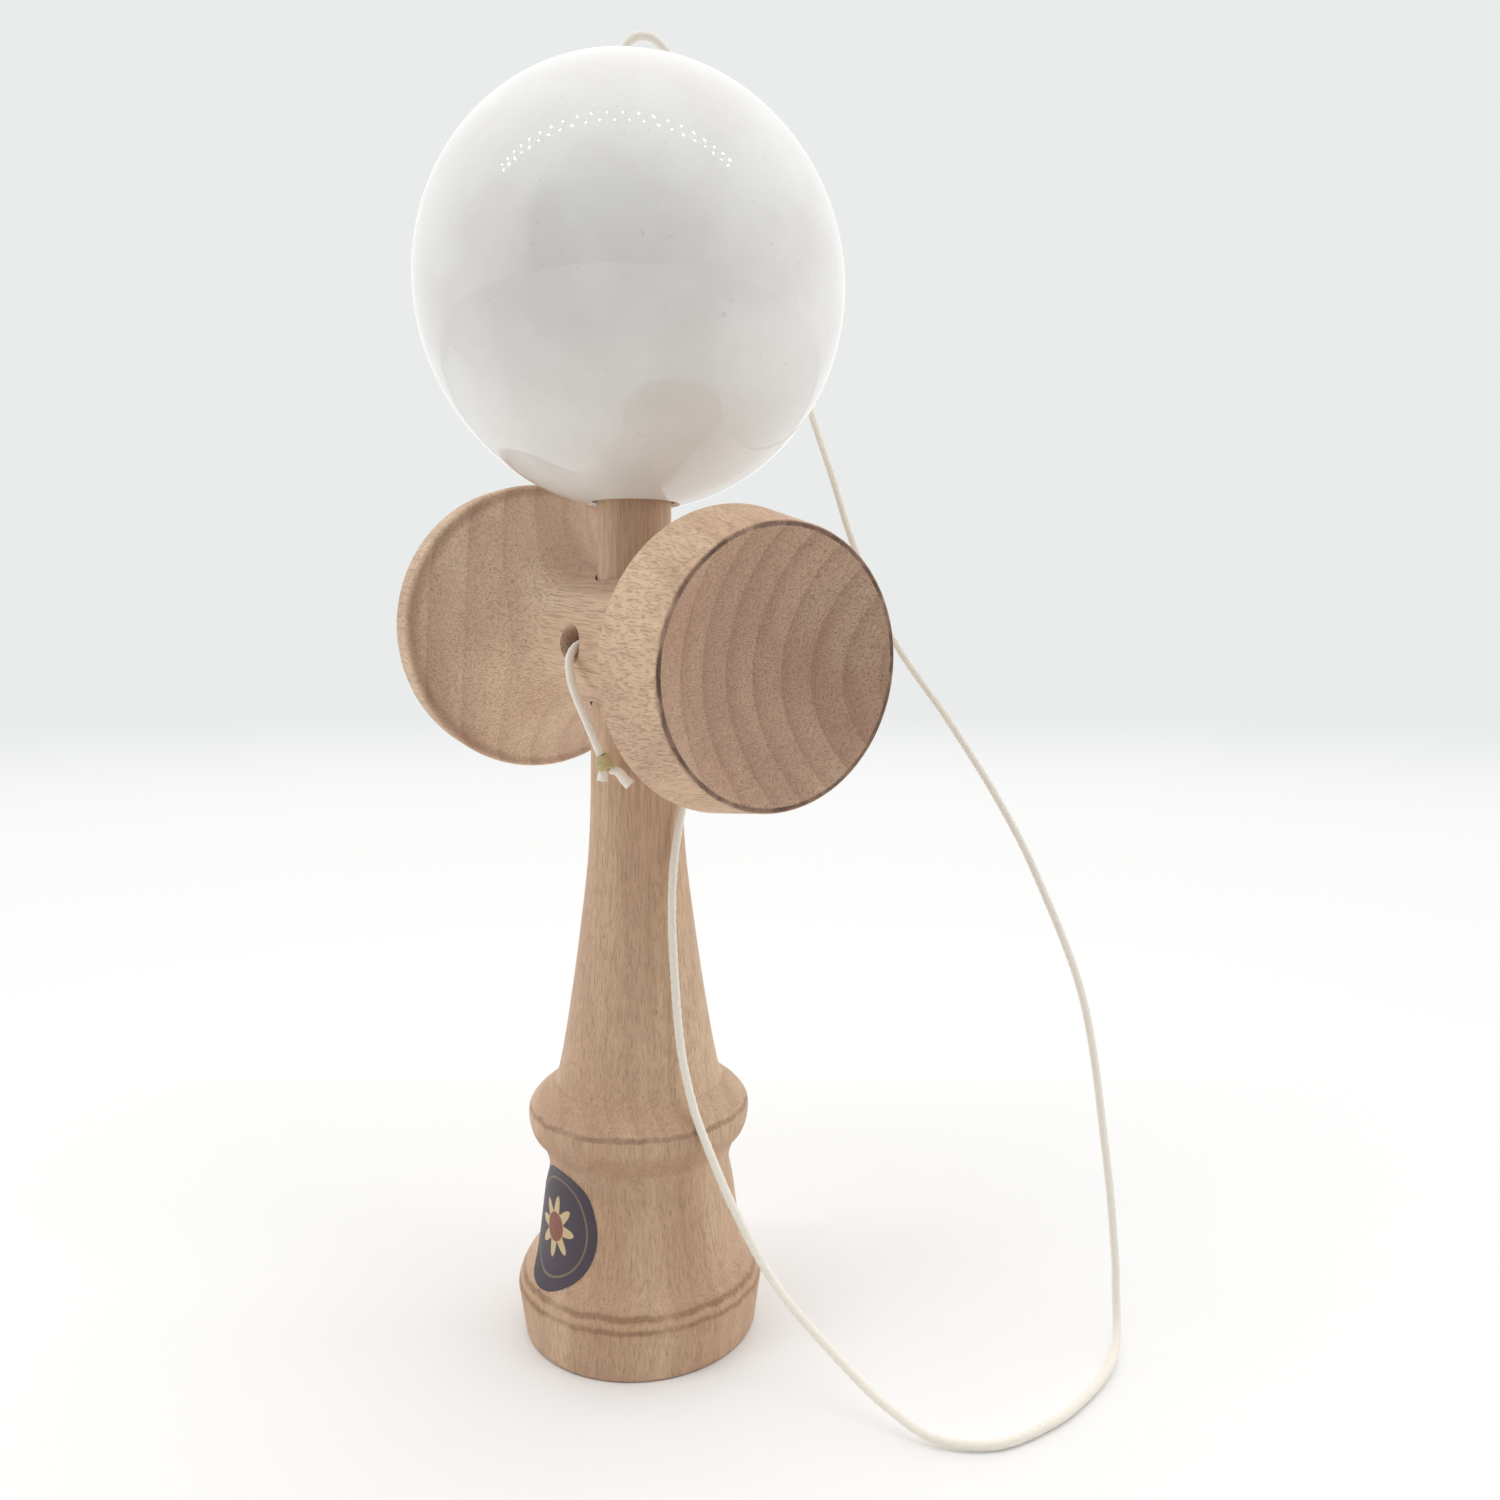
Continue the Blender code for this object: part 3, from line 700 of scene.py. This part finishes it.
def make_beech(name, pith, ring_width, ring_strength, open_grain, torn_depth, edge_and_shade_bands):
    """Beech with its grain along local Z: rings about a pith, rays, pores, fibres, and bands along the
    piece for worked edges and painted shade.
    """
    material, graph = new_material(name)
    spots = graph.add("ShaderNodeTexCoord").outputs
    place = spots["Object"]
    wander = {"Vector": place, "Scale": SWAY_SCALE, "Detail": 1.0}
    drift = graph.add("ShaderNodeTexNoise", wander).outputs["Color"]
    drift = graph.vector("SUBTRACT", drift, (0.5, 0.5, 0.5))
    sway = graph.vector("MULTIPLY", drift, (SWAY_REACH, SWAY_REACH, 0.0))
    from_pith = graph.vector("SUBTRACT", place, (*pith, 0.0))
    radius = graph.vector("LENGTH", graph.vector("MULTIPLY", from_pith, (1.0, 1.0, 0.0)))
    across_x, across_y, along = graph.split(from_pith)
    around = graph.math("MULTIPLY", graph.math("ARCTAN2", across_y, across_x), math.hypot(*pith))
    board = graph.add("ShaderNodeCombineXYZ", {"X": radius, "Y": around, "Z": along}).outputs[0]
    upright = graph.math("ABSOLUTE", graph.split(spots["Normal"])[2])
    end_grain = graph.ramp(upright, *END_GRAIN_RAMP)

    swayed = graph.vector("MULTIPLY", graph.vector("ADD", from_pith, sway), (1.0, 1.0, 0.0))
    years = graph.math("FRACT", graph.math("DIVIDE", graph.vector("LENGTH", swayed), ring_width))
    darkening = graph.math("POWER", years, LATE_WOOD_POWER)
    late = graph.math("MULTIPLY", darkening, graph.ramp(years, 1.0, LATE_WOOD_END))
    on_ends = RINGS_ON_ENDS * open_grain
    ring_share = graph.math("MULTIPLY_ADD", end_grain, on_ends, RINGS_ALONG * ring_strength)
    tone = graph.noise(board, TONE_SCALE)
    fibres = graph.noise(board, FIBRE_SCALE, 3.0)
    rays = graph.ramp(graph.noise(board, RAY_SCALE, 1.0), *RAY_RAMP, RAY_STRENGTH * open_grain)
    pores = graph.ramp(graph.noise(board, PORE_SCALE, 1.0), *PORE_RAMP)
    dashes = graph.ramp(graph.noise(place, DASH_SCALE, 1.0), *DASH_RAMP)
    dash_share = DASH_LEAST + DASH_STRENGTH * open_grain

    colour = graph.mix(graph.ramp(tone, *TONE_RAMP), BEECH_LIGHT, BEECH_WARM)
    colour = graph.mix(graph.ramp(fibres, *FIBRE_RAMP, FIBRE_STRENGTH), colour, BEECH_DARK)
    colour = graph.mix(graph.math("MULTIPLY", late, ring_share), colour, BEECH_DARK)
    colour = graph.mix(graph.math("MULTIPLY", pores, PORE_STRENGTH), colour, BEECH_DARK)
    colour = graph.mix(graph.math("MULTIPLY", rays, end_grain), colour, BEECH_DARK)
    colour = graph.mix(graph.math("MULTIPLY", dashes, dash_share), colour, BEECH_DARK)
    colour = graph.mix(graph.math("MULTIPLY", end_grain, open_grain), colour, END_GRAIN)

    height = graph.split(place)[2]
    torn = graph.math("SUBTRACT", graph.noise(place, TEAR_SCALE), 0.5)
    ragged = graph.math("MULTIPLY_ADD", torn, torn_depth, height)
    broken = graph.ramp(graph.noise(place, BREAK_SCALE), *BREAK_RAMP, 1.0 - BREAK_LEAST)
    broken = graph.math("ADD", broken, BREAK_LEAST)
    # Bands along the piece: burnt and worked edges, and on the handle also bands of painted shade
    for level, half_width, strength, tint in edge_and_shade_bands:
        away = graph.math("ABSOLUTE", graph.math("SUBTRACT", ragged, level))
        near = graph.ramp(away, half_width, EDGE_CORE * half_width, strength)
        colour = graph.mix(graph.math("MULTIPLY", near, broken), colour, tint)
    raised = graph.math("MULTIPLY", fibres, FIBRE_RELIEF)
    relief = graph.math("SUBTRACT", raised, graph.math("ADD", pores, dashes))
    graph.finish(colour, WOOD_ROUGHNESS, relief, WOOD_RELIEF)
    return material


def make_lacquer():
    material, graph = new_material("white_lacquer")
    place = graph.add("ShaderNodeTexCoord").outputs["Object"]
    cloud = graph.noise(place, (CLOUD_SCALE, CLOUD_SCALE, CLOUD_SCALE), 4.0)
    specks = graph.noise(place, (SPECK_SCALE, SPECK_SCALE, SPECK_SCALE), 1.0)
    ripple = graph.noise(place, (RIPPLE_SCALE, RIPPLE_SCALE, RIPPLE_SCALE), 1.0)
    colour = graph.mix(graph.ramp(cloud, *CLOUD_RAMP), LACQUER_DEEP, LACQUER_PALE)
    colour = graph.mix(graph.ramp(specks, *SPECK_RAMP, SPECK_STRENGTH), colour, SPECK_GREY)
    graph.finish(colour, LACQUER_ROUGHNESS, ripple, RIPPLE_DEPTH, **GLOSS)
    return material


def make_cord_material(name, pale, deep):
    material, graph = new_material(name)
    place = graph.add("ShaderNodeTexCoord").outputs["UV"]
    braid = graph.add("ShaderNodeTexWave", {"Vector": place, "Scale": 1.0}, bands_direction="DIAGONAL")
    braid = braid.outputs["Fac"]
    fibres = graph.noise(place, CORD_FIBRE_SCALE)
    colour = graph.mix(fibres, deep, pale)
    colour = graph.mix(graph.math("MULTIPLY", braid, BRAID_STRENGTH), colour, deep)
    relief = graph.math("ADD", braid, fibres)
    graph.finish(colour, CORD_ROUGHNESS, relief, CORD_RELIEF, Sheen_Weight=CORD_SHEEN)
    return material


def make_bead_material():
    material, graph = new_material("bead_wood")
    place = graph.add("ShaderNodeTexCoord").outputs["Object"]
    grain = graph.noise(place, BEAD_GRAIN_SCALE)
    graph.finish(graph.mix(grain, BEAD_DEEP, BEAD_PALE), BEAD_ROUGHNESS, grain, BEAD_RELIEF)
    return material


def make_label_material():
    """A dark paper disc with a thin ring and a small rosette."""
    material, graph = new_material("label_paper")
    place = graph.add("ShaderNodeTexCoord").outputs["UV"]
    centred = graph.vector("MULTIPLY", graph.vector("SUBTRACT", place, (0.5, 0.5, 0.0)), (2.0, 2.0, 0.0))
    radius = graph.vector("LENGTH", centred)
    across, up, _ = graph.split(centred)
    angle = graph.math("ARCTAN2", up, across)
    wave = graph.math("COSINE", graph.math("MULTIPLY", angle, PETALS))
    petals = graph.math("MULTIPLY_ADD", wave, PETAL_DEPTH, PETAL_REACH)
    within = graph.math("SUBTRACT", petals, radius)
    line = graph.math("ABSOLUTE", graph.math("SUBTRACT", radius, LINE_RADIUS))
    grain = graph.noise(place, LABEL_GRAIN_SCALE, 3.0)
    colour = graph.mix(grain, LABEL_DARK, LABEL_SOFT)
    colour = graph.mix(graph.ramp(within, *PETAL_RAMP), colour, PETAL_CREAM)
    colour = graph.mix(graph.ramp(radius, *HEART_RAMP), colour, HEART_RED)
    colour = graph.mix(graph.ramp(line, *LINE_RAMP, LINE_STRENGTH), colour, LINE_TAN)
    graph.finish(colour, LABEL_ROUGHNESS, grain, LABEL_RELIEF)
    return material


def tube(points, radius, lobes=0, end_radius=None):
    """The vertices, texture places and faces of a cord along points, its strands twisted."""
    end_radius = radius if end_radius is None else end_radius
    tangents = []
    for index in range(len(points)):
        ahead = points[min(index + 1, len(points) - 1)]
        behind = points[max(index - 1, 0)]
        tangents.append((ahead - behind).normalized())
    side = tangents[0].orthogonal().normalized()
    travelled = 0.0
    vertices, texture, faces = [], [], []
    for index, point in enumerate(points):
        if index:
            travelled += (point - points[index - 1]).length
        side = (side - tangents[index] * side.dot(tangents[index])).normalized()
        other = tangents[index].cross(side)
        thick = radius + (end_radius - radius) * index / (len(points) - 1)
        for step in range(CORD_SIDES):
            angle = 2.0 * math.pi * step / CORD_SIDES
            twist = math.cos(lobes * (angle + 2.0 * math.pi * travelled / CORD_LAY)) if lobes else 0.0
            spoke = side * math.cos(angle) + other * math.sin(angle)
            vertices.append(point + spoke * thick * (1.0 + CORD_LOBE_DEPTH * twist))
            texture.append((step / CORD_SIDES, travelled / (2.0 * math.pi * radius)))
    for row in range(len(points) - 1):
        low, high = row * CORD_SIDES, (row + 1) * CORD_SIDES
        for step in range(CORD_SIDES):
            after = (step + 1) % CORD_SIDES
            faces.append((low + step, low + after, high + after, high + step))
    faces.append(tuple(reversed(range(CORD_SIDES))))
    faces.append(tuple(range((len(points) - 1) * CORD_SIDES, len(points) * CORD_SIDES)))
    return vertices, texture, faces


def joined_mesh(name, pieces):
    """One mesh of several lists of vertices, texture places and faces."""
    vertices, texture, faces = [], [], []
    for piece_vertices, piece_texture, piece_faces in pieces:
        first = len(vertices)
        vertices += piece_vertices
        texture += piece_texture
        faces += [tuple(corner + first for corner in face) for face in piece_faces]
    mesh = bpy.data.meshes.new(name)
    mesh.from_pydata(vertices, [], faces)
    layer = mesh.uv_layers.new(name="UVMap")
    for loop in mesh.loops:
        layer.data[loop.index].uv = texture[loop.vertex_index]
    mesh.shade_smooth()
    return mesh


def string_line(route):
    """The cord's smooth line along a route, with a straight run at both ends."""
    return [Vector(route[0])] + smooth_curve(route[1:-1], CURVE_STEPS) + [Vector(route[-1])]


def make_ken():
    material = make_beech(
        "beech_handle",
        pith=(0.0200, 0.0287),
        ring_width=0.0031,
        ring_strength=0.40,
        open_grain=0.08,
        torn_depth=0.0011,
        edge_and_shade_bands=KEN_EDGE_AND_SHADE_BANDS,
    )
    ken = add_object("handle", turned_mesh("handle", ken_profile(), TURNED_SEGMENTS), material)
    cut_string_hole(ken)
    dress(ken, "ken", "ken")


def make_sarado():
    material = make_beech(
        "beech_crosspiece",
        pith=(0.0, 0.038),
        ring_width=0.0042,
        ring_strength=0.52,
        open_grain=0.36,
        torn_depth=0.0002,
        edge_and_shade_bands=SARADO_EDGES,
    )
    mesh = turned_mesh("crosspiece", sarado_profile(), TURNED_SEGMENTS)
    sarado = add_object("crosspiece", mesh, material)
    turn = Matrix.Rotation(math.pi / 2.0 + SARADO_TILT, 4, "Y")
    sarado.matrix_world = Matrix.Translation((0.0, 0.0, SARADO_Z)) @ turn
    reach = 2.0 * NECK_RADIUS
    bore = [
        (0.0, SARADO_Z + reach),
        (seat_radius(SARADO_Z + reach) + SEAT_GAP, SARADO_Z + reach),
        (seat_radius(SARADO_Z - reach) + SEAT_GAP, SARADO_Z - reach),
        (0.0, SARADO_Z - reach),
    ]
    cut_hole(sarado, bore, Matrix.Identity(4), TURNED_SEGMENTS)
    cut_string_hole(sarado)
    dress(sarado, "ken", "sarado")


def make_tama():
    mesh = turned_mesh("ball", tama_profile(), TURNED_SEGMENTS, closed=True)
    tama = add_object("ball", mesh, make_lacquer())
    tama.location = (0.0, 0.0, TAMA_Z)
    dress(tama, "tama", "tama")


def make_bead():
    hole = STRING_RADIUS + SEAT_GAP
    profile = [(hole, BEAD_HEIGHT)]
    profile += arc((BEAD_RADIUS - BEAD_EDGE, BEAD_HEIGHT - BEAD_EDGE), BEAD_EDGE, 90.0, 0.0, BEAD_STEPS)
    profile += arc((BEAD_RADIUS - BEAD_EDGE, BEAD_EDGE), BEAD_EDGE, 0.0, -90.0, BEAD_STEPS)
    profile.append((hole, 0.0))
    mesh = turned_mesh("stop_bead", profile, SMALL_SEGMENTS, closed=True)
    bead = add_object("stop_bead", mesh, make_bead_material())
    bead.location = (0.0, 0.0, BEAD_Z)
    dress(bead, "bead", "bead")


def radius_at(profile, height):
    """A turned outline's radius at a height."""
    for (first, upper), (second, lower) in zip(profile, profile[1:]):
        if lower <= height <= upper:
            return first + (second - first) * (upper - height) / max(upper - lower, 1e-9)
    return profile[-1][0]


def make_label():
    """A round paper label that follows the base's cone."""
    side = ken_side()
    vertices, texture, faces = [], [], []
    for ring in range(LABEL_RINGS + 1):
        for spoke in range(LABEL_SPOKES):
            angle = 2.0 * math.pi * spoke / LABEL_SPOKES
            across = math.cos(angle) * ring / LABEL_RINGS
            up = math.sin(angle) * ring / LABEL_RINGS
            height = LABEL_Z + LABEL_RADIUS * up
            radius = radius_at(side, height) + LABEL_STAND_OFF
            azimuth = LABEL_AZIMUTH + LABEL_RADIUS * across / radius
            vertices.append((radius * math.cos(azimuth), radius * math.sin(azimuth), height))
            texture.append((0.5 + 0.5 * across, 0.5 + 0.5 * up))
    for ring in range(LABEL_RINGS):
        low, high = ring * LABEL_SPOKES, (ring + 1) * LABEL_SPOKES
        for spoke in range(LABEL_SPOKES):
            after = (spoke + 1) % LABEL_SPOKES
            faces.append((low + spoke, high + spoke, high + after, low + after))
    mesh = joined_mesh("label", [(vertices, texture, faces)])
    label = add_object("label", mesh, make_label_material())
    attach(label, "ken")


def make_cords(material):
    """The long cord, through the neck to its knot, and the stretch inside the ball."""
    line = string_line(STRING_ROUTE) + string_line(TAIL_ROUTE)
    length = curve_length(line)
    path = evenly_spaced(line, int(length / CORD_STEP))
    mesh = joined_mesh("long_cord", [tube(path, STRING_RADIUS, CORD_LOBES)])
    cord = add_object("long_cord", mesh, material)
    knot = make_end_knot(material)
    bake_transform(cord)
    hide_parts("string", "string_in_neck", "string_tail")
    ends = [Vector((0.0, 0.0, TAMA_STRING_END_Z)), Vector((0.0, 0.0, BEAD_Z))]
    inside = evenly_spaced(ends, INNER_CORD_POINTS)
    mesh = joined_mesh("inner_cord", [tube(inside, STRING_RADIUS, CORD_LOBES)])
    inner = add_object("inner_cord", mesh, material)
    dress(inner, "bead", "string_in_tama")


def winding(length, wind_radius, turns, steps):
    """A few turns of cord wound round the Z axis."""
    points = []
    for step in range(steps + 1):
        share = step / steps
        angle = 2.0 * math.pi * turns * share
        spot = (wind_radius * math.cos(angle), wind_radius * math.sin(angle), length * (share - 0.5))
        points.append(Vector(spot))
    return points


def make_end_knot(material):
    """The knot on the short end, with its two cut ends."""
    last = Vector(TAIL_ROUTE[-1])
    along = (last - Vector(TAIL_ROUTE[-2])).normalized()
    turn = along.to_track_quat("Z", "Y").to_matrix().to_4x4()
    place = Matrix.Translation(last + along * KNOT_ALONG) @ turn
    turns = winding(KNOT_LENGTH, KNOT_WIND_RADIUS, KNOT_TURNS, KNOT_STEPS)
    wound = [place @ point for point in turns]
    below = last + along * CUT_ENDS_ALONG
    right = Vector(TOWARDS_RIGHT)
    down = Vector((0.0, 0.0, -1.0))
    ends = []
    for shape in (SHORT_CUT_END, LONG_CUT_END):
        points = [below + right * across + down * drop for across, drop in shape]
        curve = smooth_curve(points, CUT_END_STEPS)
        ends.append(tube(curve, CUT_END_RADIUS, 0, CUT_END_SPLAY))
    knot = add_object("end_knot_cord", joined_mesh("end_knot_cord", ends), material)
    dress(knot, "ken", "end_knot")
    # The winding is coloured olive, darker than the cord
    olive_material = make_cord_material("knot_winding", KNOT_WINDING_PALE, KNOT_WINDING_DEEP)
    wrap = add_object("knot_wrap", joined_mesh("knot_wrap", [tube(wound, WRAP_RADIUS)]), olive_material)
    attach(wrap, "ken")
    return knot


def make_bead_knot(material):
    turns = winding(BEAD_KNOT_LENGTH, BEAD_KNOT_WIND_RADIUS, BEAD_KNOT_TURNS, BEAD_KNOT_STEPS)
    mesh = joined_mesh("bead_knot_cord", [tube(turns, STRING_RADIUS)])
    knot = add_object("bead_knot_cord", mesh, material)
    knot.location = (0.0, 0.0, BEAD_KNOT_Z + BEAD_KNOT_HEIGHT / 2.0)
    dress(knot, "bead", "bead_knot")


def make_floor():
    """A pale table that fades into the backdrop and throws less light past its front edge."""
    material, graph = new_material("pale_floor")
    mesh = bpy.data.meshes.new("floor")
    half = FLOOR_HALF
    corners = [(-half, -half, 0.0), (half, -half, 0.0), (half, half, 0.0), (-half, half, 0.0)]
    mesh.from_pydata(corners, [], [(0, 1, 2, 3)])
    floor = add_object("floor", mesh, material)
    paths = graph.add("ShaderNodeLightPath").outputs
    seen = graph.math("MAXIMUM", paths["Is Camera Ray"], paths["Is Glossy Ray"])
    seen = graph.math("MAXIMUM", seen, paths["Is Transmission Ray"])
    place = graph.add("ShaderNodeTexCoord").outputs["Object"]
    away = graph.vector("LENGTH", place)
    ahead = graph.vector("DOT_PRODUCT", place, TOWARDS_FRONT)
    past_edge = graph.ramp(ahead, TABLE_EDGE, TABLE_EDGE + TABLE_BLUR)
    kept = graph.math("MAXIMUM", graph.math("SUBTRACT", 1.0, past_edge), paths["Is Camera Ray"])
    paper = graph.mix(graph.ramp(away, *PAPER_RAMP), PAPER_WHITE, BACKDROP)
    glow = graph.add("ShaderNodeEmission", {"Color": paper})
    lit = graph.add("ShaderNodeBsdfDiffuse", {"Color": graph.mix(kept, TABLE_FRONT, TABLE_WHITE)})
    fade = graph.add("ShaderNodeMixShader")
    faded = graph.math("MULTIPLY", graph.ramp(away, *FADE_RAMP), graph.math("MULTIPLY", seen, kept))
    graph.put(fade.inputs[0], faded)
    graph.put(fade.inputs[1], lit.outputs[0])
    graph.put(fade.inputs[2], glow.outputs[0])
    graph.put(graph.tree.nodes["Material Output"].inputs["Surface"], fade.outputs[0])


def make_world():
    world = bpy.data.worlds.new("studio")
    bpy.context.scene.world = world
    world.use_nodes = True
    world.node_tree.nodes.clear()
    graph = Graph(world.node_tree)
    way = graph.add("ShaderNodeTexCoord").outputs["Generated"]
    ahead = graph.vector("DOT_PRODUCT", way, TOWARDS_FRONT)
    up = graph.split(way)[2]
    rightward = graph.vector("DOT_PRODUCT", way, TOWARDS_RIGHT)
    sideways = graph.math("ARCTAN2", rightward, ahead)
    opening = 1.0
    for angle, limits in ((sideways, OPENING_SIDES), (graph.math("ARCSINE", up), OPENING_ENDS)):
        opening = graph.math("MULTIPLY", opening, graph.ramp(angle, limits[0] - OPENING_BLUR, limits[0]))
        opening = graph.math("MULTIPLY", opening, graph.ramp(angle, limits[1] + OPENING_BLUR, limits[1]))
    tent = graph.mix(graph.ramp(up, *TOP_RAMP), TENT_WHITE, TENT_TOP)
    tent = graph.mix(graph.ramp(rightward, *LEFT_RAMP), tent, TENT_LEFT)
    tent = graph.mix(graph.ramp(ahead, *FRONT_RAMP), tent, FRONT_GREY)
    tent = graph.mix(opening, tent, OPENING_DARK)
    seen = graph.add("ShaderNodeLightPath").outputs["Is Camera Ray"]
    background = graph.add("ShaderNodeBackground", {"Color": graph.mix(seen, tent, BACKDROP)})
    output = graph.add("ShaderNodeOutputWorld")
    graph.put(output.inputs["Surface"], background.outputs[0])


def add_lamp(name, place, target, size, power):
    lamp = bpy.data.lights.new(name, "AREA")
    lamp.shape = "DISK"
    lamp.size = size
    lamp.energy = power
    item = bpy.data.objects.new(name, lamp)
    bpy.context.scene.collection.objects.link(item)
    item.location = place
    item.rotation_euler = (Vector(target) - Vector(place)).to_track_quat("-Z", "Y").to_euler()


def add_lamp_row():
    """A zigzag strip of small lamps over the ball."""
    for number in range(ROW_LAMPS):
        share = 2.0 * number / (ROW_LAMPS - 1) - 1.0
        place = Vector(ROW_CENTRE) + Vector(TOWARDS_RIGHT) * ROW_HALF_LENGTH * share
        place += Vector(TOWARDS_FRONT) * ROW_ZIGZAG * (-1) ** number
        add_lamp("strip_%d" % number, place, ROW_TARGET, ROW_LAMP_SIZE, ROW_POWER / ROW_LAMPS)


def make_camera():
    data = bpy.data.cameras.new("camera")
    data.sensor_fit = "HORIZONTAL"
    data.sensor_width = SENSOR_WIDTH
    data.lens = LENS
    data.clip_start = CLIP_START
    camera = bpy.data.objects.new("camera", data)
    bpy.context.scene.collection.objects.link(camera)
    camera.location = CAMERA_PLACE
    camera.rotation_euler = Vector(CAMERA_FORWARD).to_track_quat("-Z", "Y").to_euler()
    bpy.context.scene.camera = camera


def main():
    bpy.context.scene.view_settings.view_transform = "Standard"
    make_camera()
    make_world()
    make_floor()
    add_lamp_row()
    cord = make_cord_material("cord", CORD_PALE, CORD_DEEP)
    make_cords(cord)
    make_bead_knot(cord)
    make_ken()
    make_sarado()
    make_tama()
    make_bead()
    make_label()


main()
